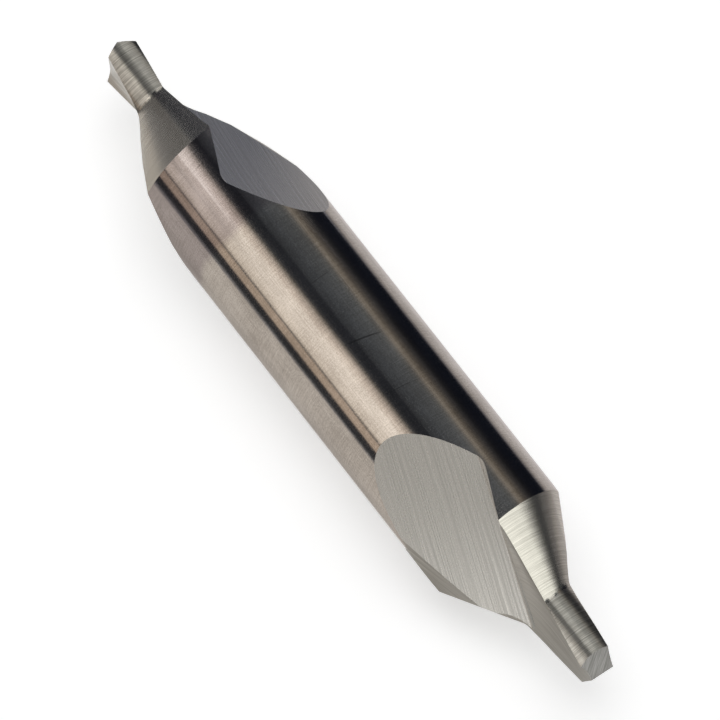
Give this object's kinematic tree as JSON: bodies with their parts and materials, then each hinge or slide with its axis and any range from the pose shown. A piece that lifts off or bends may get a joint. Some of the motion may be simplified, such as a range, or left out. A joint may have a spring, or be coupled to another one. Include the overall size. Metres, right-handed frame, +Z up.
{
  "type": "centre drill",
  "caption": "Centre drill: a plain round body with a cone and a slim pilot at each end, cut by short helical flutes that run out in flat ground faces.",
  "frame": {"origin": "centre of the tool's bounding box, on its axis, half way between the two points", "axes": "+X along the axis towards the end nearest the camera, +Z up, across the axis"},
  "size_m": [0.0534, 0.01, 0.01],
  "materials": {
    "tool_steel": "ground and polished high-speed steel"
  },
  "bodies": {
    "root": {"centre_drill": "tool_steel"}
  },
  "joints": []
}
